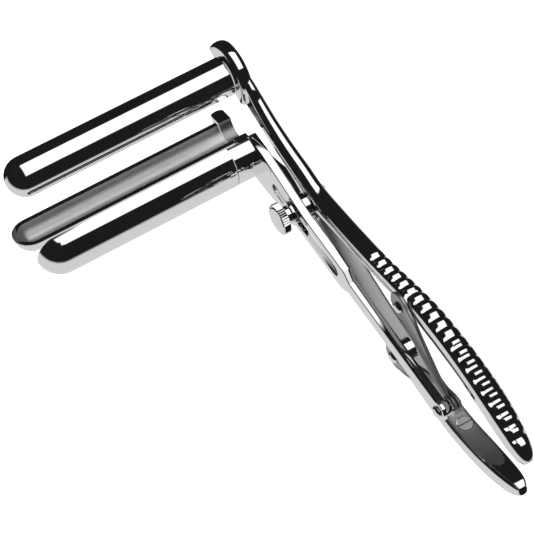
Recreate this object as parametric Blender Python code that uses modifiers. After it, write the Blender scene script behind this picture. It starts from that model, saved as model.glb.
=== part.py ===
"""Three-bladed anal speculum with ribbed handles, modelled at real size.

Everything is laid out in a side-view frame: x runs along the handles towards the grips,
y is the side the near lever is on, and z points forwards, the way the blades point.
One empty then turns that frame so that the instrument lies on its far lever, +Z up.
"""
import math

import bmesh
import bpy
from mathutils import Matrix, Vector

MM = 0.001

# Opening and blades
OPEN_ANGLE = math.radians(17.4)     # each lever, from closed to the pose shown
BLADE_REACH = 53.1 * MM             # pivot to the axis of the closed tube
BLADE_RADIUS = 7.0 * MM
BLADE_WALL = 1.8 * MM
BLADE_RIM_SETBACK = 0.6 * MM        # how far a rim stays short of the middle plane
BLADE_TIP = 82.0 * MM
CENTER_RADIUS = 9.0 * MM
CENTER_WALL = 1.8 * MM
CENTER_RIM_SETBACK = 1.0 * MM
CENTER_HALF_WIDTH = 8.1 * MM        # the blade's two sides are ground flat at this
CENTER_TIP = 83.0 * MM
CENTER_AXIS_X = -30.1 * MM

# Levers
FLANGE_RADIUS = 11.5 * MM
FLANGE_FRONT = -3.8 * MM
FLANGE_THICKNESS = 4.2 * MM
LEVER_FRONT = -6.0 * MM
LEVER_DEPTH = 7.2 * MM              # front to back at the pivot
PIVOT_WIDTH = 7.2 * MM              # in the side view, at the pivot
INNER_GAP = 0.6 * MM                # lever to the plane where the two would meet
EAR_RADIUS = 5.0 * MM
GROOVE_COUNT = 20
GROOVE_DEPTH = 0.8 * MM
GROOVE_START_X = 46.0 * MM
GROOVE_END_X = 118.0 * MM

# Central bar
BAR_THICKNESS = 3.4 * MM
BAR_TOP_X = -30.0 * MM
BAR_HALF_WIDTH = 5.2 * MM
HEEL_HALF_WIDTH = 8.8 * MM
HEEL_LENGTH = 8.5 * MM
RIM_CORNER = 0.8 * MM               # rounding of the heel's two rims
FOOT_CORNER = 3.0 * MM              # rounding below the heel
TAPER_END_X = 6.0 * MM
SHOULDER_X = 31.5 * MM
SHOULDER_RUN = 4.0 * MM
RAIL_HALF_WIDTH = 2.7 * MM
SLOT_START_X = -13.0 * MM
SLOT_END_X = 29.0 * MM
SLOT_WIDTH = 4.8 * MM

# Thumb screw and pivot
SCREW_RADIUS = 1.8 * MM
KNOB_RADIUS = 5.6 * MM
KNOB_THICKNESS = 3.0 * MM
KNOB_TEETH = 40
KNOB_TOOTH = 0.3 * MM
KNOB_FACE_RADIUS = 4.9 * MM
KNOB_CROWN = 0.5 * MM
COLLAR_RADIUS = 3.4 * MM
COLLAR_LENGTH = 1.9 * MM
WASHER_RADIUS = 4.3 * MM
WASHER_THICKNESS = 0.8 * MM
PIVOT_WASHER_WALL = 1.5 * MM
STUD_RADIUS = 3.0 * MM
STUD_FLOOR = 1.2 * MM               # solid end of the stud behind its bore
STUD_HEAD_RADIUS = 4.4 * MM
STUD_HEAD_THICKNESS = 1.6 * MM

# Links and their pins
LUG_X = 57.8 * MM
LUG_Y = 15.7 * MM
LUG_RADIUS = 4.7 * MM
LUG_DEPTH = 8.4 * MM
LINK_LENGTH = 35.6 * MM
LINK_THICKNESS = 2.6 * MM
LINK_DEPTH = 7.6 * MM
LINK_EAR_THICKNESS = 1.5 * MM
LINK_EYE_RADIUS = 3.5 * MM
LINK_BOW = 0.9 * MM
LINK_STRIP_START = 6.7 * MM         # full depth begins this far from either pin
LINK_TAB_LENGTH = 8.5 * MM
PIN_RADIUS = 1.4 * MM
PIN_HEAD_RADIUS = 2.2 * MM
PIN_HEAD_HEIGHT = 1.2 * MM
KNUCKLE_TAIL_RADIUS = 2.9 * MM
LUG_HOLE_PLAY = 1.75 * MM           # how far a link pin wanders in its lug

# Screws in the flat inner side of the grips
GRIP_SCREW_X = 91.0 * MM
GRIP_SCREW_Z = -11.0 * MM
GRIP_SCREW_RADIUS = 2.6 * MM
GRIP_SCREW_DEPTH = 3.0 * MM
GRIP_SCREW_SLOT = 0.7 * MM

CLEARANCE = 0.3 * MM                # between pieces that rest on each other
EDGE = 0.45 * MM                    # rounding of plate edges
OUTER_ROUNDING = 2.2                # superellipse powers of a lever's section
INNER_ROUNDING = 6.0
RING_POINTS = 16
STATIONS_PER_GROOVE = 4
ROUND_SEGMENTS = 32
SMALL_SEGMENTS = 20

# Sizes that follow from those above
KNUCKLE_X = LUG_X + math.sqrt(LINK_LENGTH ** 2 - LUG_Y ** 2)
LINK_FRONT = LEVER_FRONT + LINK_EAR_THICKNESS
LINK_BACK = LINK_FRONT - LINK_DEPTH
LINK_LAP = (LINK_FRONT + LINK_BACK) / 2
LUG_FRONT = LEVER_FRONT - CLEARANCE
LUG_BACK = LUG_FRONT - LUG_DEPTH
LUG_HOLE_RADIUS = PIN_RADIUS + LUG_HOLE_PLAY
LEVER_BACK = LEVER_FRONT - LEVER_DEPTH
LEVER_LAP = (LEVER_FRONT + LEVER_BACK) / 2
STUD_BACK = LEVER_BACK - CLEARANCE
HEEL_FOOT_X = CENTER_AXIS_X + CENTER_RADIUS
HEEL_HALF_ARC = math.radians(54)
FAR_BEHIND = -40.0 * MM             # cutters run past the model to here
TIP_ANGLES = [math.pi / 2 * i / 6 for i in range(7)]

# Lever on the grip side in the open pose, in millimetres: x, y, width, front, back
GRIP_LINE = (
    (12, 6.2, 6.0, -6.0, -13.6),
    (24, 8.8, 5.6, -6.0, -14.0),
    (40, 12.6, 5.8, -6.0, -14.6),
    (56, 17.0, 6.3, -6.0, -15.1),
    (68, 19.3, 7.0, -6.0, -15.2),
    (80, 20.0, 7.5, -6.0, -15.2),
    (92, 19.5, 7.5, -6.1, -15.2),
    (104, 17.2, 7.2, -6.6, -14.7),
    (113, 14.3, 6.4, -7.3, -13.9),
    (119, 11.8, 5.5, -8.1, -13.0),
    (122, 10.3, 4.4, -8.8, -12.4),
    (123.6, 9.4, 2.6, -9.5, -11.7),
)
# Lever on the blade side, in millimetres: distance from the pivot, width, front, back.
# The line is drawn for this reach, and stretches to BLADE_REACH.
BLADE_LINE_REACH = 53.1 * MM
BLADE_LINE = (
    (50, 9.6, -4.3, -8.4),
    (44, 8.6, -4.6, -9.0),
    (38, 7.0, -4.9, -9.5),
    (30, 5.8, -5.2, -10.0),
    (20, 5.6, -5.5, -11.0),
    (10, 6.4, -5.8, -12.2),
)


def clear_scene():
    for existing in list(bpy.data.objects):
        bpy.data.objects.remove(existing, do_unlink=True)


def make_collection(name):
    collection = bpy.data.collections.new(name)
    bpy.context.scene.collection.children.link(collection)
    return collection


def make_metal(name, color, roughness):
    material = bpy.data.materials.new(name)
    material.use_nodes = True
    shader = material.node_tree.nodes["Principled BSDF"]
    shader.inputs["Base Color"].default_value = (*color, 1.0)
    shader.inputs["Metallic"].default_value = 1.0
    shader.inputs["Roughness"].default_value = roughness
    return material


def add_object(name, mesh, collection):
    piece = bpy.data.objects.new(name, mesh)
    collection.objects.link(piece)
    return piece


def object_from_bmesh(name, bm, collection):
    bmesh.ops.recalc_face_normals(bm, faces=bm.faces)
    mesh = bpy.data.meshes.new(name)
    bm.to_mesh(mesh)
    bm.free()
    return add_object(name, mesh, collection)


def arc(center, radius, start, end, steps):
    """Points on an arc, with both ends."""
    return [
        (center[0] + radius * math.cos(start + (end - start) * i / steps),
         center[1] + radius * math.sin(start + (end - start) * i / steps))
        for i in range(steps + 1)
    ]


def round_corners(corners, steps=4):
    """Replace each (x, y, radius) corner of a closed outline with an arc."""
    outline = []
    for i, (x, y, radius) in enumerate(corners):
        here = Vector((x, y))
        before = Vector(corners[i - 1][:2]) - here
        after = Vector(corners[(i + 1) % len(corners)][:2]) - here
        if radius <= 0:
            outline.append((x, y))
            continue
        half = before.angle(after) / 2
        reach = min(radius / math.tan(half), 0.49 * before.length, 0.49 * after.length)
        radius = reach * math.tan(half)
        bisector = (before.normalized() + after.normalized()).normalized()
        center = here + bisector * (radius / math.sin(half))
        first = here + before.normalized() * reach - center
        last = here + after.normalized() * reach - center
        start = math.atan2(first.y, first.x)
        turn = math.atan2(first.x * last.y - first.y * last.x, first.dot(last))
        outline += arc(center, radius, start, start + turn, steps)
    return outline


def plate(name, outline, back, front, collection, edge=0.0):
    """A flat plate with the given side-view outline, between two depths."""
    curve = bpy.data.curves.new(name, "CURVE")
    curve.dimensions = "2D"
    curve.fill_mode = "BOTH"
    curve.extrude = (front - back) / 2 - edge
    curve.bevel_depth = edge
    curve.bevel_resolution = 1
    curve.offset = -edge
    spline = curve.splines.new("POLY")
    spline.points.add(len(outline) - 1)
    for point, (x, y) in zip(spline.points, outline):
        point.co = (x, y, 0, 1)
    spline.use_cyclic_u = True
    source = add_object(name + "_outline", curve, collection)
    source.location.z = (front + back) / 2
    bpy.context.view_layer.update()
    solid = source.evaluated_get(bpy.context.evaluated_depsgraph_get())
    bm = bmesh.new()
    bm.from_mesh(solid.to_mesh())
    bm.transform(source.matrix_world)
    solid.to_mesh_clear()
    bmesh.ops.remove_doubles(bm, verts=bm.verts, dist=0.01 * MM)
    flat = [face for face in bm.faces if abs(face.normal.z) > 0.999]
    shared = [edge for edge in bm.edges if all(face in flat for face in edge.link_faces)]
    bmesh.ops.dissolve_edges(bm, edges=shared, use_verts=False)
    bpy.data.objects.remove(source, do_unlink=True)
    bpy.data.curves.remove(curve)
    return object_from_bmesh(name, bm, collection)


def cylinder(name, center, radius, back, front, collection, segments=ROUND_SEGMENTS):
    bm = bmesh.new()
    place = Matrix.Translation((center[0], center[1], (back + front) / 2))
    bmesh.ops.create_cone(bm, cap_ends=True, segments=segments, radius1=radius,
                          radius2=radius, depth=front - back, matrix=place)
    return object_from_bmesh(name, bm, collection)


def box(name, low, high, collection):
    bm = bmesh.new()
    bmesh.ops.create_cube(bm, size=1.0)
    low, high = Vector(low), Vector(high)
    size = high - low
    bm.transform(Matrix.Translation((low + high) / 2) @ Matrix.Diagonal((*size, 1.0)))
    return object_from_bmesh(name, bm, collection)


def turned(name, profile, center, collection, segments=ROUND_SEGMENTS, ring=False):
    """A turned solid: (radius, depth) points down its outer side. A ring's profile is a closed loop."""
    mesh = bpy.data.meshes.new(name)
    points = [(radius, 0, depth) for radius, depth in profile]
    edges = [(i, i + 1) for i in range(len(points) - 1)]
    if ring:
        edges.append((len(points) - 1, 0))
    mesh.from_pydata(points, edges, [])
    piece = add_object(name, mesh, collection)
    piece.location = (center[0], center[1], 0)
    screw = piece.modifiers.new("turn", "SCREW")
    screw.steps = segments
    screw.render_steps = segments
    screw.use_merge_vertices = True
    screw.merge_threshold = 0.01 * MM
    return piece


def dome(radius, height, base, steps=4):
    """Profile points of a domed head, from its crown down to its edge."""
    return [
        (radius * math.sin(math.pi / 2 * i / steps), base + height * math.cos(math.pi / 2 * i / steps))
        for i in range(steps + 1)
    ]


def combine(piece, other, operation):
    """Add a Boolean with another object, which stays hidden among the cutters."""
    for owner in list(other.users_collection):
        owner.objects.unlink(other)
    cutters.objects.link(other)
    other.hide_render = True
    other.display_type = "WIRE"
    other.parent = piece.parent
    boolean = piece.modifiers.new(other.name, "BOOLEAN")
    boolean.operation = operation
    boolean.solver = "EXACT"
    boolean.object = other


def join(piece, other):
    combine(piece, other, "UNION")


def cut(piece, other):
    combine(piece, other, "DIFFERENCE")


def smooth_path(points, steps):
    """Catmull-Rom curve through tuples of any length."""
    path = []
    padded = [points[0]] + list(points) + [points[-1]]
    for i in range(1, len(padded) - 2):
        p0, p1, p2, p3 = padded[i - 1:i + 3]
        for k in range(steps):
            t = k / steps
            path.append(tuple(
                0.5 * (2 * b + (c - a) * t + (2 * a - 5 * b + 4 * c - d) * t ** 2
                       + (3 * b - a - 3 * c + d) * t ** 3)
                for a, b, c, d in zip(p0, p1, p2, p3)))
    path.append(tuple(points[-1]))
    return path


def opened(x, y):
    """A point given in the closed pose, swung to the open one."""
    c, s = math.cos(OPEN_ANGLE), math.sin(OPEN_ANGLE)
    return x * c + y * s, -x * s + y * c


def lever_stations():
    """Stations along a lever, from blade to grip: x, y, width, front, back."""
    stations = []
    stretch = BLADE_REACH / BLADE_LINE_REACH
    for reach, width, front, back in BLADE_LINE:
        x, y = opened(-reach * MM * stretch, INNER_GAP + width * MM / 2)
        stations.append((x, y, width * MM, front * MM, back * MM))
    stations.append((0, INNER_GAP + PIVOT_WIDTH / 2, PIVOT_WIDTH, LEVER_FRONT, LEVER_BACK))
    for station in GRIP_LINE:
        stations.append(tuple(value * MM for value in station))
    return stations


def resample(path, start_x, end_x, pitch):
    """Keep the path's own points outside the grooves, and space them evenly inside."""
    before = [p for p in path if p[0] < start_x]
    after = [p for p in path if p[0] > end_x]
    middle = [p for p in path if start_x <= p[0] <= end_x]
    dense = []
    travelled, target = 0.0, 0.0
    for a, b in zip(middle, middle[1:]):
        step = math.hypot(b[0] - a[0], b[1] - a[1])
        while target <= travelled + step:
            t = (target - travelled) / step
            dense.append(tuple(u + (v - u) * t for u, v in zip(a, b)))
            target += pitch
        travelled += step
    return before + dense + after, len(before), len(dense)


def groove_weight(across):
    """How deep a groove is across the outer face: none at the front edge (-1), full at the back."""
    if across < -0.7:
        return 0.0
    if across < -0.4:
        return 0.8
    return 1.0 if across < 0.8 else 0.5


def lever_ring(station, direction, side, groove):
    """One section of a lever: squared on the inner side, rounded on the outer one."""
    x, y, width, front, back = station
    normal = Vector((-direction.y, direction.x))
    middle, half_depth = (front + back) / 2, (front - back) / 2
    ring = []
    for i in range(RING_POINTS):
        angle = 2 * math.pi * i / RING_POINTS
        c, s = math.cos(angle), math.sin(angle)
        power = 2 / OUTER_ROUNDING if c > 0 else 2 / INNER_ROUNDING
        out = math.copysign(abs(c) ** power, c) * width / 2
        across = -math.copysign(abs(s) ** power, s)
        if c > 0.01:
            out -= groove * groove_weight(across)
        point = Vector((x, y)) + normal * out
        ring.append((point.x, point.y * side, middle - across * half_depth))
    return ring


def lever_shaft(name, side, collection):
    """The long curved body of a lever, with its finger grooves."""
    path = smooth_path(lever_stations(), 2)
    length = sum(math.hypot(b[0] - a[0], b[1] - a[1]) for a, b in zip(path, path[1:])
                 if GROOVE_START_X <= a[0] <= GROOVE_END_X)
    pitch = length / (GROOVE_COUNT * STATIONS_PER_GROOVE)
    path, first, count = resample(path, GROOVE_START_X, GROOVE_END_X, pitch)
    bm = bmesh.new()
    rings = []
    for i, station in enumerate(path):
        ahead, behind = path[min(i + 1, len(path) - 1)], path[max(i - 1, 0)]
        direction = Vector((ahead[0] - behind[0], ahead[1] - behind[1])).normalized()
        groove = 0.0
        if first <= i < first + count:
            phase = (i - first) / STATIONS_PER_GROOVE
            groove = GROOVE_DEPTH * (0.5 - 0.5 * math.cos(2 * math.pi * phase))
        rings.append([bm.verts.new(p) for p in lever_ring(station, direction, side, groove)])
    for ring, following in zip(rings, rings[1:]):
        for k in range(RING_POINTS):
            after = (k + 1) % RING_POINTS
            bm.faces.new((ring[k], ring[after], following[after], following[k]))
    bm.faces.new(rings[0])
    bm.faces.new(rings[-1])
    return object_from_bmesh(name, bm, collection)


def flange_outline(side):
    """Half a disc round the blade's root, with its flat side along the middle plane."""
    half_turn = math.acos(INNER_GAP / FLANGE_RADIUS)
    closed = arc((-BLADE_REACH, 0), FLANGE_RADIUS, math.pi / 2 - half_turn,
                 math.pi / 2 + half_turn, ROUND_SEGMENTS // 2)
    return [(x, y * side) for x, y in (opened(*point) for point in closed)]


def make_lever(name, side):
    """One lever: side is 1 for the near one and -1 for the far one."""
    lever = lever_shaft(name, side, parts)
    flange_back = FLANGE_FRONT - FLANGE_THICKNESS
    join(lever, plate(name + "_flange", flange_outline(side), flange_back, FLANGE_FRONT,
                      parts, edge=EDGE))
    half_gap = CLEARANCE / 2
    if side > 0:
        ear = (LEVER_LAP + half_gap, LEVER_FRONT)
        relief = (FAR_BEHIND, LEVER_LAP + half_gap)
    else:
        ear = (LEVER_BACK, LEVER_LAP - half_gap)
        relief = (LEVER_LAP - half_gap, 0.0)
    cut(lever, cylinder(name + "_relief", (0, 0), EAR_RADIUS + CLEARANCE, *relief, parts))
    join(lever, cylinder(name + "_ear", (0, 0), EAR_RADIUS, *ear, parts))
    cut(lever, cylinder(name + "_bore", (0, 0), STUD_RADIUS + CLEARANCE, FAR_BEHIND, 0.0, parts))
    lug = (LUG_X, LUG_Y * side)
    join(lever, cylinder(name + "_lug", lug, LUG_RADIUS, LUG_BACK, LUG_FRONT, parts))
    cut(lever, cylinder(name + "_lug_recess", lug, LINK_EYE_RADIUS + LUG_HOLE_PLAY + CLEARANCE,
                        LUG_FRONT, 0.0, parts))
    cut(lever, cylinder(name + "_lug_hole", lug, LUG_HOLE_RADIUS, FAR_BEHIND, 0.0,
                        parts, SMALL_SEGMENTS))
    face = inner_face_y(GRIP_SCREW_X)
    pocket = along_y(name + "_screw_pocket", GRIP_SCREW_RADIUS + CLEARANCE, side,
                     face - GRIP_SCREW_DEPTH, face + GRIP_SCREW_DEPTH + CLEARANCE)
    cut(lever, pocket)
    return finish(lever, chrome)


def inner_face_y(x):
    """Height of a grip's flat inner side above the middle plane."""
    path = smooth_path(lever_stations(), 3)
    nearest = min(path, key=lambda station: abs(station[0] - x))
    return nearest[1] - nearest[2] / 2


def along_y(name, radius, side, low, high):
    """A cylinder across the handles at the grip screw's place."""
    bm = bmesh.new()
    place = Matrix.Translation((GRIP_SCREW_X, side * (low + high) / 2, GRIP_SCREW_Z))
    bmesh.ops.create_cone(bm, cap_ends=True, segments=SMALL_SEGMENTS, radius1=radius,
                          radius2=radius, depth=high - low,
                          matrix=place @ Matrix.Rotation(math.pi / 2, 4, "X"))
    return object_from_bmesh(name, bm, parts)


def make_grip_screw(name, side):
    """Slotted screw, flush with the flat inner side of a grip."""
    face = inner_face_y(GRIP_SCREW_X)
    screw = along_y(name, GRIP_SCREW_RADIUS, side, face, face + GRIP_SCREW_DEPTH)
    half = GRIP_SCREW_SLOT / 2
    low = (GRIP_SCREW_X - half, side * face - GRIP_SCREW_SLOT, GRIP_SCREW_Z - 2 * GRIP_SCREW_RADIUS)
    high = (GRIP_SCREW_X + half, side * face + GRIP_SCREW_SLOT, GRIP_SCREW_Z + 2 * GRIP_SCREW_RADIUS)
    cut(screw, box(name + "_slot", low, high, parts))
    return finish(screw, chrome)


def make_trough(name, center, radius, wall, root, tip, cutter, metal):
    """A blade: a test tube with its open side cut away."""
    inner = radius - wall
    outer_tip = [(radius * math.sin(a), tip - radius + radius * math.cos(a)) for a in TIP_ANGLES]
    inner_tip = [(inner * math.sin(a), tip - radius + inner * math.cos(a)) for a in TIP_ANGLES]
    profile = outer_tip + [(radius, root), (inner, root)] + inner_tip[::-1]
    blade = turned(name, profile, center, parts)
    cut(blade, cutter)
    return finish(blade, metal)


def make_side_blade(name, side, metal):
    """Near or far blade. Its rims stop just short of the plane where the two meet."""
    span = 2 * BLADE_RADIUS
    cutter = box(name + "_open_side", (-BLADE_REACH - span, -span, -span),
                 (-BLADE_REACH + span, BLADE_RIM_SETBACK, BLADE_TIP + span), parts)
    swing = Matrix.Rotation(-OPEN_ANGLE, 4, "Z")
    mirror = Matrix.Diagonal((1, side, 1, 1))
    cutter.data.transform(mirror @ swing)
    if side < 0:
        cutter.data.flip_normals()
    x, y = opened(-BLADE_REACH, 0)
    return make_trough(name, (x, y * side), BLADE_RADIUS, BLADE_WALL,
                       FLANGE_FRONT + CLEARANCE, BLADE_TIP, cutter, metal)


def make_center_blade(name):
    """Blade on the bar: its open side faces the other two, and both its sides are ground flat."""
    span = 2 * CENTER_RADIUS
    cutter = box(name + "_open_side", (CENTER_AXIS_X - span, -span, -span),
                 (CENTER_AXIS_X + CENTER_RIM_SETBACK, span, CENTER_TIP + span), parts)
    blade = make_trough(name, (CENTER_AXIS_X, 0), CENTER_RADIUS, CENTER_WALL,
                        HEEL_LENGTH + CLEARANCE, CENTER_TIP, cutter, chrome)
    flats = (("near_flat", CENTER_HALF_WIDTH, span), ("far_flat", -span, -CENTER_HALF_WIDTH))
    for side, low, high in flats:
        cut(blade, box(name + "_" + side, (CENTER_AXIS_X - span, low, 0),
                       (CENTER_AXIS_X + span, high, CENTER_TIP + span), parts))
    return blade


def make_center_bar(name):
    """Slotted bar: hollow heel that carries the blade on round the closed pair, and rail to the knuckle."""
    half_side = round_corners([
        (0, 0, 0),
        (BAR_TOP_X, 0, 0),
        (BAR_TOP_X, HEEL_HALF_WIDTH, RIM_CORNER),
        (HEEL_FOOT_X, HEEL_HALF_WIDTH, FOOT_CORNER),
        (TAPER_END_X, BAR_HALF_WIDTH, 2 * FOOT_CORNER),
        (SHOULDER_X, BAR_HALF_WIDTH, EDGE),
        (SHOULDER_X + SHOULDER_RUN, RAIL_HALF_WIDTH, EDGE),
        (KNUCKLE_X, RAIL_HALF_WIDTH, 0),
    ], steps=3)[2:-1]
    rail_end = arc((KNUCKLE_X, 0), LINK_EYE_RADIUS, 0.75 * math.pi, -0.75 * math.pi, 16)
    outline = half_side + rail_end + [(x, -y) for x, y in reversed(half_side)]
    bar = plate(name, outline, -BAR_THICKNESS, 0.0, parts, edge=EDGE)
    inset = EDGE + CLEARANCE / 2
    side, top = HEEL_HALF_WIDTH - inset, BAR_TOP_X + inset
    heel = arc((CENTER_AXIS_X, 0), CENTER_RADIUS + EDGE, -HEEL_HALF_ARC, HEEL_HALF_ARC, 14)
    heel += arc((top + RIM_CORNER, side - RIM_CORNER), RIM_CORNER, math.pi / 2, math.pi, 3)
    heel += arc((top + RIM_CORNER, RIM_CORNER - side), RIM_CORNER, math.pi, 1.5 * math.pi, 3)
    join(bar, plate(name + "_heel", heel, -BAR_THICKNESS / 2, HEEL_LENGTH, parts))
    cut(bar, cylinder(name + "_hollow", (CENTER_AXIS_X, 0), CENTER_RADIUS - CENTER_WALL,
                      -2 * BAR_THICKNESS, 2 * HEEL_LENGTH, parts))
    half = SLOT_WIDTH / 2
    slot = arc((SLOT_START_X + half, 0), half, math.pi / 2, 3 * math.pi / 2, 8)
    slot += arc((SLOT_END_X - half, 0), half, -math.pi / 2, math.pi / 2, 8)
    cut(bar, plate(name + "_slot", slot, -2 * BAR_THICKNESS, BAR_THICKNESS, parts))
    cut(bar, cylinder(name + "_eye", (KNUCKLE_X, 0), PIN_RADIUS + CLEARANCE,
                      -2 * BAR_THICKNESS, BAR_THICKNESS, parts, SMALL_SEGMENTS))
    return finish(bar, chrome)


def make_thumb_screw(name):
    """Knurled knob, collar and shank, turned in one piece."""
    back = CLEARANCE + WASHER_THICKNESS + CLEARANCE
    knob_back = back + COLLAR_LENGTH
    knob_front = knob_back + KNOB_THICKNESS
    screw = turned(name, [
        *dome(KNOB_FACE_RADIUS, KNOB_CROWN, knob_front), (KNOB_FACE_RADIUS, knob_back),
        (COLLAR_RADIUS, knob_back), (COLLAR_RADIUS, back), (SCREW_RADIUS, back),
        (SCREW_RADIUS, STUD_BACK + STUD_FLOOR + CLEARANCE), (0, STUD_BACK + STUD_FLOOR + CLEARANCE),
    ], (0, 0), parts)
    knurl = []
    for i in range(2 * KNOB_TEETH):
        radius = KNOB_RADIUS - (i % 2) * KNOB_TOOTH
        angle = math.pi * i / KNOB_TEETH
        knurl.append((radius * math.cos(angle), radius * math.sin(angle)))
    join(screw, plate(name + "_knurl", knurl, knob_back + CLEARANCE, knob_front - CLEARANCE, parts))
    return finish(screw, chrome)


def make_ring(name, center, inner, outer, back, front):
    """A flat washer."""
    ring = turned(name, [(inner, front), (outer, front), (outer, back), (inner, back)],
                  center, parts, ring=True)
    return finish(ring, chrome)


def make_stud(name):
    """Pivot of both levers, with a head at the back and a bore that takes the thumb screw."""
    bore, front = SCREW_RADIUS + CLEARANCE, -BAR_THICKNESS - CLEARANCE
    floor = STUD_BACK + STUD_FLOOR
    stud = turned(name, [
        (0, floor), (bore, floor), (bore, front), (STUD_RADIUS, front), (STUD_RADIUS, STUD_BACK),
        (STUD_HEAD_RADIUS, STUD_BACK), (STUD_HEAD_RADIUS, STUD_BACK - STUD_HEAD_THICKNESS + EDGE),
        (STUD_HEAD_RADIUS - EDGE, STUD_BACK - STUD_HEAD_THICKNESS), (0, STUD_BACK - STUD_HEAD_THICKNESS),
    ], (0, 0), parts)
    return finish(stud, chrome)


def make_pin(name, center, front, back, tail_radius=None):
    """Pin with a domed head in front. It ends flush at the back, or in a flatter second head."""
    seat = front + CLEARANCE
    profile = dome(PIN_HEAD_RADIUS, PIN_HEAD_HEIGHT, seat) + [(PIN_RADIUS, seat)]
    if tail_radius:
        tail_seat = back - CLEARANCE
        tail_end = tail_seat - PIN_HEAD_HEIGHT
        profile += [(PIN_RADIUS, tail_seat), (tail_radius, tail_seat),
                    (tail_radius - EDGE, tail_end + EDGE), (tail_radius / 2, tail_end), (0, tail_end)]
    else:
        profile += [(PIN_RADIUS, back + EDGE), (PIN_RADIUS - EDGE, back), (0, back)]
    return finish(turned(name, profile, center, parts, SMALL_SEGMENTS), chrome)


def make_link(name, side):
    """Strip from a lever's lug to the knuckle: an eye on a thin tab at one end, half depth at the other."""
    lug, knuckle = Vector((LUG_X, LUG_Y * side)), Vector((KNUCKLE_X, 0))
    along = (knuckle - lug).normalized()
    across = Vector((-along.y, along.x)) * side

    def place(distance, offset):
        bow = LINK_BOW * math.sin(math.pi * distance / LINK_LENGTH)
        point = lug + along * distance + across * (offset + bow)
        return point.x, point.y

    half = LINK_THICKNESS / 2
    start, end = LINK_STRIP_START, LINK_LENGTH - LINK_STRIP_START
    steps = [start + (end - start) * i / 8 for i in range(9)]
    strip = [place(d, half) for d in steps] + [place(d, -half) for d in reversed(steps)]
    link = plate(name, strip, LINK_BACK, LINK_FRONT, parts)
    tab = eye_outline(lug, along, across * half, LINK_TAB_LENGTH, place(LINK_TAB_LENGTH, 0))
    join(link, plate(name + "_tab", tab, LINK_FRONT - LINK_EAR_THICKNESS, LINK_FRONT - EDGE / 4, parts))
    far_end = eye_outline(knuckle, -along, across * half, LINK_TAB_LENGTH,
                          place(LINK_LENGTH - LINK_TAB_LENGTH, 0))
    if side > 0:
        back, front = LINK_LAP + CLEARANCE / 2, LINK_FRONT - EDGE / 4
    else:
        back, front = LINK_BACK + EDGE / 4, LINK_LAP - CLEARANCE / 2
    join(link, plate(name + "_knuckle", far_end, back, front, parts))
    for tag, center in (("_lug_eye", lug), ("_knuckle_eye", knuckle)):
        cut(link, cylinder(name + tag, center, PIN_RADIUS + CLEARANCE, FAR_BEHIND, 0.0,
                           parts, SMALL_SEGMENTS))
    return finish(link, satin)


def eye_outline(center, towards, half_across, length, far):
    """A round eye that tapers into a strip whose middle passes through the far point."""
    angle = math.atan2(towards.y, towards.x)
    outline = arc(center, LINK_EYE_RADIUS, angle + math.pi / 3, angle + 5 * math.pi / 3, 14)
    ends = [Vector(far) + half_across, Vector(far) - half_across]
    last = Vector(outline[-1])
    ends.sort(key=lambda point: (point - last).length)
    return outline + [tuple(point) for point in ends]


def finish(piece, metal):
    piece.data.materials.append(metal)
    return piece


def make_axis(name, x, y):
    """Empty on a joint's axis."""
    axis = bpy.data.objects.new(name, None)
    axis.location = (x, y, 0)
    axis.parent = stand
    parts.objects.link(axis)
    return axis


def carry(axis, pieces):
    """Parent pieces to an axis without moving them."""
    for piece in pieces:
        piece.parent = axis
        piece.matrix_parent_inverse = Matrix.Translation(axis.location).inverted()
        for modifier in piece.modifiers:
            if modifier.type == "BOOLEAN":
                modifier.object.parent = axis
                modifier.object.matrix_parent_inverse = piece.matrix_parent_inverse


def lie_down():
    """Lay the instrument on its far lever, centred over the origin."""
    stand.rotation_euler = (math.pi / 2, 0, 0)
    bpy.context.view_layer.update()
    depsgraph = bpy.context.evaluated_depsgraph_get()
    corners = []
    for piece in parts.objects:
        if piece.type == "MESH":
            solid = piece.evaluated_get(depsgraph)
            corners += [solid.matrix_world @ vertex.co for vertex in solid.data.vertices]
    low = [min(corner[i] for corner in corners) for i in range(3)]
    high = [max(corner[i] for corner in corners) for i in range(3)]
    stand.location = (-(low[0] + high[0]) / 2, -(low[1] + high[1]) / 2, -low[2])
    bpy.context.view_layer.update()


clear_scene()
parts = make_collection("anal_speculum")
cutters = make_collection("cutters")
chrome = make_metal("polished_chrome", (0.80, 0.80, 0.81), 0.08)
satin = make_metal("satin_steel", (0.55, 0.55, 0.56), 0.38)
stand = bpy.data.objects.new("stand", None)
parts.objects.link(stand)

bar_pieces = [
    make_center_bar("center_bar"),
    make_center_blade("center_blade"),
    make_pin("knuckle_pin", (KNUCKLE_X, 0), 0.0, LINK_BACK, KNUCKLE_TAIL_RADIUS),
    make_ring("knuckle_washer", (KNUCKLE_X, 0), PIN_RADIUS + CLEARANCE, LINK_EYE_RADIUS,
              LINK_FRONT + CLEARANCE, -BAR_THICKNESS - CLEARANCE),
]
pivot_pieces = [
    make_stud("pivot_stud"),
    make_ring("pivot_washer", (0, 0), STUD_RADIUS + CLEARANCE, STUD_RADIUS + CLEARANCE + PIVOT_WASHER_WALL,
              LEVER_FRONT + CLEARANCE, -BAR_THICKNESS - CLEARANCE),
    make_ring("screw_washer", (0, 0), SCREW_RADIUS + CLEARANCE, WASHER_RADIUS,
              CLEARANCE, CLEARANCE + WASHER_THICKNESS),
]
carry(make_axis("bar_axis", 0, 0), bar_pieces)
carry(make_axis("pivot_axis", 0, 0), pivot_pieces)
carry(make_axis("thumb_screw_axis", 0, 0), [make_thumb_screw("thumb_screw")])
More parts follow.
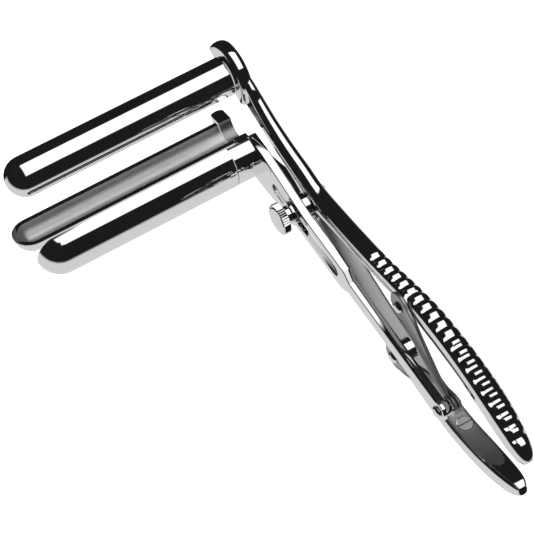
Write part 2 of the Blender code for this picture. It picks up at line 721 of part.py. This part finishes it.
for label, side, blade_metal in (("near", 1, chrome), ("far", -1, satin)):
    carry(make_axis(label + "_lever_axis", 0, 0), [
        make_lever(label + "_lever", side),
        make_side_blade(label + "_blade", side, blade_metal),
        make_grip_screw(label + "_grip_screw", side),
    ])
    carry(make_axis(label + "_link_axis", KNUCKLE_X, 0), [
        make_link(label + "_link", side),
        make_pin(label + "_link_pin", (LUG_X, LUG_Y * side), LINK_FRONT, LUG_BACK + CLEARANCE),
    ])
lie_down()
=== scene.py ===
"""Looks of the three-bladed anal speculum: polished chrome in a white studio with dark flags."""

import math

import bmesh
import bpy
from mathutils import Matrix, Vector

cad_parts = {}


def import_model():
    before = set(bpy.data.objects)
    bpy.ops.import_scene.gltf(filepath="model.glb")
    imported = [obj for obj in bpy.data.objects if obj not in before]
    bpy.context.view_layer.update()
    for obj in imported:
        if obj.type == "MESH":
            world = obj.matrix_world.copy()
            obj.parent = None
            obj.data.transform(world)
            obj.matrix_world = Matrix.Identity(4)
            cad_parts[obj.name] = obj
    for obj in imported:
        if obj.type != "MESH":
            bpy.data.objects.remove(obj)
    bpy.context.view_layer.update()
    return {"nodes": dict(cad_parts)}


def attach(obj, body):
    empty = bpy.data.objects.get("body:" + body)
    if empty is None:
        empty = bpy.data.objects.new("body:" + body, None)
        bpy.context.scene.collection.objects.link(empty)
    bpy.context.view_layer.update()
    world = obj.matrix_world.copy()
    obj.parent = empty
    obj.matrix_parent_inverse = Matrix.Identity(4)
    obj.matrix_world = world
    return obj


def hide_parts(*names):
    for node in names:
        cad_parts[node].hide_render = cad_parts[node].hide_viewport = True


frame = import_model()
scene = bpy.context.scene
MM = 0.001

# Where the pivot's axis meets the front of the central bar, in the row frame
PIVOT = Vector((-0.031402, 0.033819, 0.027346))

# Camera: it looks past the pivot, by the distances right and up in CAMERA_AIM
CAMERA_AZIMUTH = math.radians(58.209)
CAMERA_ELEVATION = math.radians(57.309)
CAMERA_DISTANCE = 837.5 * MM
CAMERA_AIM = (-8.468 * MM, -18.275 * MM)
CAMERA_ROLL = -0.013
CAMERA_LENS = 167.4
CAMERA_CLIP = (0.01, 20)


def make_camera():
    """Camera at the photograph's viewing angle."""
    a, e = CAMERA_AZIMUTH, CAMERA_ELEVATION
    back = Vector((math.sin(a) * math.cos(e), -math.cos(a) * math.cos(e), math.sin(e)))
    right = Vector((math.cos(a), math.sin(a), 0))
    up = back.cross(right)
    c, s = math.cos(CAMERA_ROLL), math.sin(CAMERA_ROLL)
    place = PIVOT + right * CAMERA_AIM[0] + up * CAMERA_AIM[1] + back * CAMERA_DISTANCE
    turned_right, turned_up = c * right - s * up, s * right + c * up
    camera = bpy.data.objects.new("camera", bpy.data.cameras.new("camera"))
    scene.collection.objects.link(camera)
    axes = Matrix((turned_right, turned_up, back)).transposed().to_4x4()
    camera.matrix_world = Matrix.Translation(place) @ axes
    camera.data.lens = CAMERA_LENS
    camera.data.clip_start, camera.data.clip_end = CAMERA_CLIP
    scene.camera = camera


# Metals. Mottling and relief are noise, given by scale and detail.
# Mirror-polished plating: a haze of fine wiping marks, and faint waviness
POLISHED = {"mottling": (55.0, 4.0), "spread": (0.6, 1.6), "limits": (0.35, 0.7),
            "relief": (90.0, 1.0), "strength": 0.12, "height": 0.0004}
# Bead-blasted steel: even grey with a fine grain
BLASTED = {"mottling": (140.0, 3.0), "spread": (0.85, 1.15), "limits": (0.0, 1.0),
           "relief": (6000.0, 2.0), "strength": 0.25, "height": 0.0001}
CREASE_ANGLE = math.radians(34)
MERGE_DISTANCE = 0.002 * MM


def new_material(name):
    material = bpy.data.materials.new(name)
    material.use_nodes = True
    nodes, links = material.node_tree.nodes, material.node_tree.links
    return material, nodes, links, nodes["Principled BSDF"]


def noise(nodes, links, coordinates, scale, detail):
    texture = nodes.new("ShaderNodeTexNoise")
    texture.inputs["Scale"].default_value = scale
    texture.inputs["Detail"].default_value = detail
    links.new(coordinates, texture.inputs["Vector"])
    return texture.outputs["Fac"]


def ramp(nodes, links, value, start, end, low, high, interpolation="LINEAR"):
    """Low up to one value, high from another on, and a slope between them."""
    change = nodes.new("ShaderNodeMapRange")
    change.interpolation_type = interpolation
    change.inputs["From Min"].default_value = start
    change.inputs["From Max"].default_value = end
    change.inputs["To Min"].default_value = low
    change.inputs["To Max"].default_value = high
    links.new(value, change.inputs["Value"])
    return change.outputs["Result"]


def make_metal(name, tone, roughness, finish):
    """Bare metal with mottled roughness and a fine relief."""
    material, nodes, links, shader = new_material(name)
    where = nodes.new("ShaderNodeTexCoord").outputs["Object"]
    shader.inputs["Base Color"].default_value = (*tone, 1.0)
    shader.inputs["Metallic"].default_value = 1.0
    low, high = finish["spread"]
    mottling = noise(nodes, links, where, *finish["mottling"])
    links.new(ramp(nodes, links, mottling, *finish["limits"], roughness * low, roughness * high),
              shader.inputs["Roughness"])
    bump = nodes.new("ShaderNodeBump")
    bump.inputs["Strength"].default_value = finish["strength"]
    bump.inputs["Distance"].default_value = finish["height"]
    links.new(noise(nodes, links, where, *finish["relief"]), bump.inputs["Height"])
    links.new(bump.outputs["Normal"], shader.inputs["Normal"])
    return material


def make_smoothing():
    """Geometry nodes that shade a faceted solid smooth up to the crease angle."""
    group = bpy.data.node_groups.new("smooth_by_angle", "GeometryNodeTree")
    group.interface.new_socket("Geometry", in_out="INPUT", socket_type="NodeSocketGeometry")
    group.interface.new_socket("Geometry", in_out="OUTPUT", socket_type="NodeSocketGeometry")
    nodes, links = group.nodes, group.links
    start, end = nodes.new("NodeGroupInput"), nodes.new("NodeGroupOutput")
    merge = nodes.new("GeometryNodeMergeByDistance")
    merge.inputs["Distance"].default_value = MERGE_DISTANCE
    faces = nodes.new("GeometryNodeSetShadeSmooth")
    faces.inputs["Shade Smooth"].default_value = True
    edges = nodes.new("GeometryNodeSetShadeSmooth")
    edges.domain = "EDGE"
    edges.inputs["Shade Smooth"].default_value = False
    angle = nodes.new("GeometryNodeInputMeshEdgeAngle")
    sharp = nodes.new("FunctionNodeCompare")
    sharp.operation = "GREATER_THAN"
    sharp.inputs[1].default_value = CREASE_ANGLE
    links.new(start.outputs[0], merge.inputs["Geometry"])
    links.new(merge.outputs[0], faces.inputs["Geometry"])
    links.new(faces.outputs[0], edges.inputs["Geometry"])
    links.new(angle.outputs[0], sharp.inputs[0])
    links.new(sharp.outputs[0], edges.inputs["Selection"])
    links.new(edges.outputs[0], end.inputs[0])
    return group


CHROME = make_metal("mirror_chrome", (0.86, 0.86, 0.87), 0.035, POLISHED)
SATIN = make_metal("blasted_steel", (0.74, 0.74, 0.75), 0.40, BLASTED)
# A darker copy of the blasted steel whose low tone is painted shade. It covers the grips' inner
# sides, the links, the grip screws and the troughs through the flanges.
SHADED_BLASTED = make_metal("blasted_steel_painted_shade", (0.40, 0.40, 0.41), 0.38, BLASTED)
SMOOTHING = make_smoothing()


def smooth(piece):
    piece.modifiers.new("smooth", "NODES").node_group = SMOOTHING


def paint(piece, material):
    if not piece.material_slots:
        piece.data.materials.append(material)
    for slot in piece.material_slots:
        slot.material = material


# The studio that the metal reflects, by direction. Angles run round the Y axis, from +X up to +Z,
# and the other limits are parts of a unit vector.
SOFTBOX_START, SOFTBOX_END = math.radians(58), math.radians(124)
SOFTBOX_FRONT, SOFTBOX_BACK = -0.1, 0.62
SOFTBOX_LEVEL = 1.25
TABLE_HORIZON, TABLE_FULL = -0.14, -0.38
TABLE_SIDE = -0.64
TABLE_LEVEL = 0.71
FLAG_LEVEL = 0.012
SOFT_EDGE = 0.04
FLOOR_SIZE = 3.0
FLOOR_TONE = 0.8
FLOOR_ROUGHNESS = 0.9
FLOOR_LIFT = 0.62                   # light that only the camera sees
WHITE = (1, 1, 1, 1)


def make_world():
    """White for the camera. Metal sees a long softbox above, a pale table below and dark flags."""
    studio_world = bpy.data.worlds.new("studio")
    scene.world = studio_world
    studio_world.use_nodes = True
    nodes, links = studio_world.node_tree.nodes, studio_world.node_tree.links
    split = nodes.new("ShaderNodeSeparateXYZ")
    links.new(nodes.new("ShaderNodeTexCoord").outputs["Generated"], split.inputs[0])

    def of_two(operation, first, second):
        node = nodes.new("ShaderNodeMath")
        node.operation = operation
        for socket, value in zip(node.inputs, (first, second)):
            if isinstance(value, (int, float)):
                socket.default_value = value
            else:
                links.new(value, socket)
        return node.outputs["Value"]

    def step(value, dark, light, level=1.0):
        return ramp(nodes, links, value, dark, light, 0.0, level, "SMOOTHSTEP")

    def above(value, limit, level=1.0):
        return step(value, limit - SOFT_EDGE, limit + SOFT_EDGE, level)

    def below(value, limit):
        return step(value, limit + SOFT_EDGE, limit - SOFT_EDGE)

    x, y, z = split.outputs
    around = of_two("ARCTAN2", z, x)
    span = of_two("MULTIPLY", above(around, SOFTBOX_START, SOFTBOX_LEVEL),
                  below(around, SOFTBOX_END))
    reach = of_two("MULTIPLY", above(y, SOFTBOX_FRONT), below(y, SOFTBOX_BACK))
    softbox = of_two("MULTIPLY", span, reach)
    table = of_two("MULTIPLY", step(z, TABLE_HORIZON, TABLE_FULL, TABLE_LEVEL),
                   above(x, TABLE_SIDE))
    seen = of_two("MAXIMUM", of_two("MAXIMUM", softbox, table), FLAG_LEVEL)
    rays = nodes.new("ShaderNodeLightPath")
    reflected = of_two("MAXIMUM", rays.outputs["Is Glossy Ray"],
                       rays.outputs["Is Transmission Ray"])
    plain, studio = nodes["Background"], nodes.new("ShaderNodeBackground")
    plain.inputs["Color"].default_value = WHITE
    links.new(seen, studio.inputs["Color"])
    mix = nodes.new("ShaderNodeMixShader")
    links.new(reflected, mix.inputs[0])
    links.new(plain.outputs[0], mix.inputs[1])
    links.new(studio.outputs[0], mix.inputs[2])
    links.new(mix.outputs[0], nodes["World Output"].inputs["Surface"])


def make_floor():
    """Plain white floor under the object."""
    bpy.ops.mesh.primitive_plane_add(size=FLOOR_SIZE)
    floor = bpy.context.object
    floor.name = "floor"
    floor.visible_glossy = False
    material, nodes, links, shader = new_material("white_floor")
    shader.inputs["Base Color"].default_value = (FLOOR_TONE, FLOOR_TONE, FLOOR_TONE, 1.0)
    shader.inputs["Roughness"].default_value = FLOOR_ROUGHNESS
    shader.inputs["Emission Color"].default_value = WHITE
    camera_ray = nodes.new("ShaderNodeLightPath").outputs["Is Camera Ray"]
    links.new(ramp(nodes, links, camera_ray, 0.0, 1.0, 0.0, FLOOR_LIFT),
              shader.inputs["Emission Strength"])
    floor.data.materials.append(material)


# Shapes, in the side-view frame and in millimetres: x along the grips, y towards the near side,
# z forwards like the blades. The far side mirrors the near one.
CUT_BACK, CUT_FRONT = -40.0, 0.0    # a cut between these goes right through
CIRCLE_STEPS, BEVEL_STEPS = 64, 4
FLAT_TOLERANCE = 0.001 * MM         # an edge this level across the depth is a rim

BLADE_AXIS = (-50.67, 15.88)
CENTER_AXIS = (-30.1, 0.0)
BLADE_SWELL = 1.05                  # the blades are a little fuller than their solids
BLADE_LEAN = 0.022                  # and lean towards the grips
BLADE_BORE = 5.4
BLADE_INSIDE = 6.3                  # faces nearer to the axis than this
BLADE_FACING = -0.2                 # that face the axis are the blasted inside

FLANGE_RADIUS = 12.2
FLANGE_FRONT, FLANGE_BACK = -3.8, -8.8
FLANGE_TURN = math.radians(17.4)
FLANGE_RINGS, FLANGE_STEPS = 10, 48
FLANGE_ROUNDING = 0.5

KNUCKLE = (89.75, 0.0)
LUG = (57.8, 15.7)
LUG_RADIUS = 4.2
LUG_HOLE = 3.15                     # wide, because the link's pin wanders in it
LUG_FRONT, LUG_BACK = -6.3, -11.5

EAR_RADIUS, EAR_BORE = 5.0, 3.3
EAR_FRONT, EAR_LAP, EAR_BACK = -6.0, -9.6, -13.2
EAR_CLEARANCE, EAR_RELIEF = 0.15, 0.3

STUD_RADIUS, STUD_BORE = 3.0, 2.1
STUD_FRONT, STUD_FLOOR, STUD_BACK = -3.7, -12.3, -13.4
STUD_EDGE = 0.4

PIN_RADIUS, PIN_HOLE = 1.4, 1.7
PIN_TOP, PIN_END = 0.2, -8.2
PIN_EDGE = 0.2
PIN_HEAD_RADIUS, PIN_HEAD_SEAT = 2.3, 0.3
PIN_HEAD_STEPS = (32, 16)
PIN_HEAD_DOME, PIN_HEAD_FLAT = 0.55, 0.02   # the head's height in front and behind, to its radius

SCREW_PLACE = (91.0, -11.0)         # x and z of the screw in each grip
SCREW_FACE, SCREW_DEPTH, SCREW_RADIUS = 15.75, 3.3, 2.9
SCREW_STEPS = 48

STRAP_FRONT, STRAP_BACK = -4.55, -5.85
STRAP_EDGE = 0.35
STRAP_DROP = 1.5                    # the far link laps behind the near one at the knuckle
STRAP_BEND = (63.0, 77.0)           # and bends back between these places
STRAP_EYE_RADIUS, STRAP_EYE_START, STRAP_EYE_TURN = 5.2, -0.4, -3.3
STRAP_END_RADIUS, STRAP_END_START, STRAP_END_TURN = 3.5, 0.75 * math.pi, -1.5 * math.pi
STRAP_ROUND_STEPS, STRAP_SIDE_STEPS = 12, 3
# Near link seen from the front: the side next to the grip, then the other one
STRAP_OUTER = ((62.4, 18.9), (66.5, 17.2), (71.0, 13.6), (76.4, 9.7), (81.0, 6.4), (85.6, 3.6))
STRAP_INNER = ((86.2, -2.4), (78.0, 1.8), (69.0, 5.8), (61.0, 9.6), (55.2, 11.0))

# x, y, width, front, back of the near lever, from its blade to the end of its grip
LEVER_LINE = (
    (-46.28, 20.1, 9.8, -4.3, -9.2), (-40.41, 17.9, 8.8, -4.6, -9.8),
    (-35.03, 15.3, 7.2, -4.9, -10.3), (-27.58, 12.4, 6.0, -5.2, -10.7),
    (-18.07, 9.25, 5.8, -5.5, -11.4), (-8.41, 6.7, 6.5, -5.8, -12.2),
    (0, 4.2, 7.2, -6.0, -12.9), (12, 6.2, 6.0, -6.0, -13.0), (24, 8.8, 5.6, -6.0, -13.0),
    (40, 12.6, 5.8, -6.0, -13.1), (56, 17.0, 6.5, -6.0, -13.8), (68, 19.3, 7.2, -6.0, -14.3),
    (80, 20.0, 7.5, -6.0, -14.6), (92, 19.5, 7.5, -6.0, -14.9), (104, 17.2, 7.8, -6.2, -15.2),
    (113, 14.4, 7.6, -6.7, -14.9), (118.5, 12.2, 6.8, -7.3, -14.4),
    (122, 10.6, 5.3, -8.2, -13.6), (123.8, 9.6, 2.9, -9.3, -12.4),
)
LEVER_STEPS = 6                     # stations from one of these to the next
RING_POINTS = 40
OUTER_POWER, INNER_POWER = 2.2, 6   # round outside, flat inside
GROOVES, GROOVE_DEPTH, GROOVE_STEPS = 20, 0.85, 10
GROOVE_START, GROOVE_END = 36.0, 118.5
GROOVE_MARGIN = 0.3                 # between the even stations and the lever's own
# Grooves fade in from the front, run out to half their depth at the back, and end at the rim.
# Across the lever, -1 is the front and 1 the back.
GROOVE_FADE_IN, GROOVE_RUN_OUT, GROOVE_RIM = (-0.85, -0.45), (0.7, 1.0), (0, 0.3)
GROOVE_BACK_LOSS = 0.5
# The blasted inner side, darkened as painted shade: where it starts and ends, how pointed it is,
# and its width
BLAST_START, BLAST_END, BLAST_POINT, BLAST_WIDTH = 4.0, 113.0, 13.0, 0.9


def world(x, y, z):
    """A side-view point in millimetres, in the row frame."""
    return Vector((PIVOT.x + x * MM, PIVOT.y - z * MM, PIVOT.z + y * MM))


def on_side(point, side):
    """The point on the near side, or its mirror image on the far one."""
    return point[0], point[1] * side


def smooth_path(points, steps):
    """Catmull-Rom curve through tuples of any length."""
    path = []
    padded = [points[0]] + list(points) + [points[-1]]
    for i in range(1, len(padded) - 2):
        p0, p1, p2, p3 = padded[i - 1:i + 3]
        for k in range(steps):
            t = k / steps
            path.append(tuple(
                0.5 * (2 * b + (c - a) * t + (2 * a - 5 * b + 4 * c - d) * t ** 2
                       + (3 * b - a - 3 * c + d) * t ** 3)
                for a, b, c, d in zip(p0, p1, p2, p3)))
    path.append(tuple(points[-1]))
    return path


def ease(value, low, high):
    """Smooth step from 0 at low to 1 at high."""
    t = min(max((value - low) / (high - low), 0.0), 1.0)
    return t * t * (3 - 2 * t)


def object_from(name, bm, materials):
    bmesh.ops.recalc_face_normals(bm, faces=bm.faces)
    mesh = bpy.data.meshes.new(name)
    bm.to_mesh(mesh)
    bm.free()
    for material in materials:
        mesh.materials.append(material)
    piece = bpy.data.objects.new(name, mesh)
    scene.collection.objects.link(piece)
    return piece


def plate(name, outline, back, front, materials, edge=0.0, slot=0):
    """A flat plate with a side-view outline, between two depths, with rounded edges."""
    bm = bmesh.new()
    bottom = [bm.verts.new(world(x, y, back)) for x, y in outline]
    grown = bmesh.ops.extrude_face_region(bm, geom=[bm.faces.new(bottom)])["geom"]
    shift = world(0, 0, front) - world(0, 0, back)
    raised = [v for v in grown if isinstance(v, bmesh.types.BMVert)]
    bmesh.ops.translate(bm, vec=shift, verts=raised)
    if edge:
        rims = [e for e in bm.edges if abs(e.verts[0].co.y - e.verts[1].co.y) < FLAT_TOLERANCE]
        bmesh.ops.bevel(bm, geom=rims, offset=edge * MM, segments=BEVEL_STEPS, profile=0.5,
                        affect="EDGES")
    for face in bm.faces:
        face.material_index = slot
    return object_from(name, bm, materials)


def circle(center, radius, steps=CIRCLE_STEPS, start=0.0, turn=2 * math.pi):
    """Points round a circle, or along a part of it."""
    return [(center[0] + radius * math.cos(start + turn * i / steps),
             center[1] + radius * math.sin(start + turn * i / steps)) for i in range(steps)]


def bridge(bm, rings):
    """Faces between each ring of vertices and the next, and a cap at both ends."""
    walls = []
    for ring, following in zip(rings, rings[1:]):
        for k, vertex in enumerate(ring):
            after = (k + 1) % len(ring)
            walls.append(bm.faces.new((vertex, ring[after], following[after], following[k])))
    bm.faces.new(rings[0])
    bm.faces.new(rings[-1])
    return walls


def combine(piece, other, operation):
    """Apply a Boolean with another object, and remove that object."""
    boolean = piece.modifiers.new("combine", "BOOLEAN")
    boolean.operation = operation
    boolean.object = other
    boolean.material_mode = "INDEX"
    bpy.context.view_layer.update()
    solid = piece.evaluated_get(bpy.context.evaluated_depsgraph_get())
    mesh = bpy.data.meshes.new_from_object(solid)
    piece.modifiers.clear()
    piece.data = mesh
    bpy.data.objects.remove(other, do_unlink=True)


def join_disc(piece, center, radius, back, front):
    disc = plate("disc", circle(center, radius), back, front, piece.data.materials)
    combine(piece, disc, "UNION")


def cut_disc(piece, center, radius, back=CUT_BACK, front=CUT_FRONT, slot=0):
    disc = plate("disc", circle(center, radius), back, front, piece.data.materials, slot=slot)
    combine(piece, disc, "DIFFERENCE")


def settle(piece, body, node):
    """Let a piece ride on its body in place of its solid, shaded smooth."""
    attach(piece, body)
    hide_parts(node)
    smooth(piece)


def lever_path():
    """Stations along the lever: its own outside the grooves, and close even ones inside."""
    path = smooth_path(LEVER_LINE, LEVER_STEPS)
    count = GROOVES * GROOVE_STEPS
    dense, k = [], 0
    for i in range(count + 1):
        x = GROOVE_START + (GROOVE_END - GROOVE_START) * i / count
        while path[k + 1][0] < x:
            k += 1
        t = (x - path[k][0]) / (path[k + 1][0] - path[k][0])
        dense.append(tuple(u + (v - u) * t for u, v in zip(path[k], path[k + 1])))
    before = [station for station in path if station[0] < GROOVE_START - GROOVE_MARGIN]
    after = [station for station in path if station[0] > GROOVE_END + GROOVE_MARGIN]
    return before + dense + after


def groove_depth(x):
    """Full depth of the wave that the grooves make along the grip."""
    phase = (x - GROOVE_START) / (GROOVE_END - GROOVE_START) * GROOVES
    if 0 < phase < GROOVES:
        return GROOVE_DEPTH * (0.5 - 0.5 * math.cos(2 * math.pi * phase))
    return 0.0


def lever_section(width, groove):
    """Points round a lever, as (outwards, across): round outside, and almost flat inside."""
    section = []
    for k in range(RING_POINTS):
        turn = 2 * math.pi * k / RING_POINTS
        c, s = math.cos(turn), math.sin(turn)
        if c > 0:
            out = abs(c) ** (2 / OUTER_POWER) * width / 2
            across = -math.copysign(abs(s) ** (2 / OUTER_POWER), s)
            out -= (groove * ease(across, *GROOVE_FADE_IN) * ease(c, *GROOVE_RIM)
                    * (1 - GROOVE_BACK_LOSS * ease(across, *GROOVE_RUN_OUT)))
        else:
            out = -(1 - abs(s) ** INNER_POWER) ** (1 / INNER_POWER) * width / 2
            across = -s
        section.append((out, across))
    return section


def lever_shaft(name, side):
    """Smooth body of a lever, with its grooves. Its inner side is blasted and darkened as painted
    shade, up to a point.
    """
    path = lever_path()
    bm = bmesh.new()
    rings = []
    for i, (x, y, width, front, back) in enumerate(path):
        ahead, behind = path[min(i + 1, len(path) - 1)], path[max(i - 1, 0)]
        along = Vector((ahead[0] - behind[0], ahead[1] - behind[1])).normalized()
        ring = []
        for out, across in lever_section(width, groove_depth(x)):
            depth = (front + back) / 2 - across * (front - back) / 2
            place = world(x - along.y * out, (y + along.x * out) * side, depth)
            ring.append(bm.verts.new(place))
        rings.append(ring)
    for i, face in enumerate(bridge(bm, rings)):
        x = path[i // RING_POINTS][0]
        middle = 2 * math.pi * (i % RING_POINTS + 0.5) / RING_POINTS
        across = abs(math.sin(middle))
        inner = math.cos(middle) < 0 and across < BLAST_WIDTH
        blasted = inner and BLAST_START < x < BLAST_END - BLAST_POINT * across ** 3
        # Faces of the blasted inner side take the darker material: painted shade.
        face.material_index = 1 if blasted else 0
    return object_from(name, bm, (CHROME, SHADED_BLASTED))


def make_flange(axis, start):
    """Half disc round a blade's root, its curved rim rounded like a coin's."""
    bm = bmesh.new()
    middle, half = (FLANGE_FRONT + FLANGE_BACK) / 2, (FLANGE_FRONT - FLANGE_BACK) / 2
    turn = math.pi * (FLANGE_STEPS + 1) / FLANGE_STEPS
    rings = []
    for i in range(FLANGE_RINGS + 1):
        lean = math.pi * (i / FLANGE_RINGS - 0.5)
        inset = half * FLANGE_ROUNDING * (1 - math.cos(lean))
        depth = middle + half * math.sin(lean)
        outline = circle(axis, FLANGE_RADIUS - inset, FLANGE_STEPS, start, turn)
        rings.append([bm.verts.new(world(x, y, depth)) for x, y in outline])
    bridge(bm, rings)
    return object_from("flange", bm, (CHROME, SHADED_BLASTED))


def make_screw_pocket(side):
    """Cutter for the hole of the screw in the flat side of a grip."""
    bm = bmesh.new()
    middle = world(SCREW_PLACE[0], (SCREW_FACE + SCREW_DEPTH / 2) * side, SCREW_PLACE[1])
    bmesh.ops.create_cone(bm, cap_ends=True, segments=SCREW_STEPS, depth=2 * SCREW_DEPTH * MM,
                          radius1=SCREW_RADIUS * MM, radius2=SCREW_RADIUS * MM,
                          matrix=Matrix.Translation(middle))
    return object_from("screw_pocket", bm, (CHROME, SHADED_BLASTED))


def make_lever(side, label):
    """One lever: shaft, flange with the blade's trough through it, link lug and pivot ear."""
    lever = lever_shaft(label + "_lever_forging", side)
    pivot, axis, lug = (0, 0), on_side(BLADE_AXIS, side), on_side(LUG, side)
    combine(lever, make_flange(axis, -FLANGE_TURN if side > 0 else math.pi + FLANGE_TURN), "UNION")
    join_disc(lever, lug, LUG_RADIUS, LUG_BACK, LUG_FRONT)
    if side > 0:
        lap = EAR_LAP + EAR_CLEARANCE
        ear, relief = (lap, EAR_FRONT), (CUT_BACK, lap)
    else:
        lap = EAR_LAP - EAR_CLEARANCE
        ear, relief = (EAR_BACK, lap), (lap, CUT_FRONT)
    cut_disc(lever, pivot, EAR_RADIUS + EAR_RELIEF, *relief)
    join_disc(lever, pivot, EAR_RADIUS, *ear)
    cut_disc(lever, pivot, EAR_BORE)
    cut_disc(lever, lug, LUG_HOLE)
    # The trough through the flange takes the darker blasted steel: painted shade in a recess.
    cut_disc(lever, axis, BLADE_BORE, slot=1)
    combine(lever, make_screw_pocket(side), "DIFFERENCE")
    settle(lever, label + "_lever", label + "_lever")


def make_link(side, label):
    """Flat blasted strap from the lug to the knuckle, darkened as painted shade."""
    tilt = math.atan2(LUG[1] - STRAP_INNER[-1][1], LUG[0] - STRAP_INNER[-1][0])
    outline = circle(LUG, STRAP_EYE_RADIUS, STRAP_ROUND_STEPS,
                     math.pi + tilt + STRAP_EYE_START, STRAP_EYE_TURN)
    outline += smooth_path(STRAP_OUTER, STRAP_SIDE_STEPS)
    outline += circle(KNUCKLE, STRAP_END_RADIUS, STRAP_ROUND_STEPS,
                      STRAP_END_START, STRAP_END_TURN)
    outline += smooth_path(STRAP_INNER, STRAP_SIDE_STEPS)
    outline = [on_side(point, side) for point in outline]
    # The strap is the darker blasted steel: painted shade between the levers.
    link = plate(label + "_link_strap", outline, STRAP_BACK, STRAP_FRONT, (SHADED_BLASTED,), STRAP_EDGE)
    cut_disc(link, on_side(LUG, side), PIN_HOLE)
    cut_disc(link, KNUCKLE, PIN_HOLE)
    if side < 0:
        for vertex in link.data.vertices:
            bend = ease((vertex.co.x - PIVOT.x) / MM, *STRAP_BEND)
            vertex.co.y += STRAP_DROP * MM * bend
    settle(link, label + "_link", label + "_link")


def make_blade(label, body, axis_point, blasted):
    """A blade, fuller than its solid and leaning a little. Side blades are blasted inside."""
    axis = world(*axis_point, 0)
    mesh = frame["nodes"][label + "_blade"].data.copy()
    for vertex in mesh.vertices:
        lean = BLADE_LEAN * (PIVOT.y - vertex.co.y)
        vertex.co.x = axis.x + (vertex.co.x - axis.x) * BLADE_SWELL + lean
        vertex.co.z = axis.z + (vertex.co.z - axis.z) * BLADE_SWELL
    mesh.materials.clear()
    mesh.materials.append(CHROME)
    mesh.materials.append(SATIN)
    for face in mesh.polygons:
        lean = BLADE_LEAN * (PIVOT.y - face.center.y)
        away = Vector((face.center.x - lean - axis.x, 0, face.center.z - axis.z))
        near_axis = away.length < BLADE_INSIDE * MM
        inside = near_axis and face.normal.dot(away) < BLADE_FACING * away.length
        face.material_index = 1 if inside and blasted else 0
    blade = bpy.data.objects.new(label + "_blade_tube", mesh)
    scene.collection.objects.link(blade)
    settle(blade, body, label + "_blade")


def make_knuckle_pin():
    """Domed pin that holds both links on the bar, cut short behind them."""
    pin = plate("knuckle_pin_short", circle(KNUCKLE, PIN_RADIUS), PIN_END, PIN_TOP,
                (CHROME,), PIN_EDGE)
    bm = bmesh.new()
    around, along = PIN_HEAD_STEPS
    bmesh.ops.create_uvsphere(bm, u_segments=around, v_segments=along,
                              radius=PIN_HEAD_RADIUS * MM)
    for vertex in bm.verts:
        vertex.co.y *= PIN_HEAD_DOME if vertex.co.y < 0 else PIN_HEAD_FLAT
    bm.transform(Matrix.Translation(world(*KNUCKLE, PIN_HEAD_SEAT)))
    combine(pin, object_from("pin_head", bm, (CHROME,)), "UNION")
    settle(pin, "bar", "knuckle_pin")


def make_stud():
    """Pivot stud, riveted over flush behind the levers."""
    stud = plate("pivot_stud_riveted", circle((0, 0), STUD_RADIUS), STUD_BACK, STUD_FRONT,
                 (CHROME,), STUD_EDGE)
    cut_disc(stud, (0, 0), STUD_BORE, back=STUD_FLOOR)
    settle(stud, "pivot", "pivot_stud")


make_camera()
make_world()
make_floor()
for name, node in frame["nodes"].items():
    # The grip screws take the darker blasted steel, which is painted shade. Every other part is
    # chrome.
    paint(node, SHADED_BLASTED if name.endswith("_grip_screw") else CHROME)
    smooth(node)
make_stud()
make_knuckle_pin()
make_blade("center", "bar", CENTER_AXIS, False)
for side, label, blade_slot in ((1, "near", "polished_chrome"), (-1, "far", "satin_steel")):
    make_lever(side, label)
    make_link(side, label)
    make_blade(label, label + "_lever", on_side(BLADE_AXIS, side), True)

scene.view_settings.view_transform = "Standard"
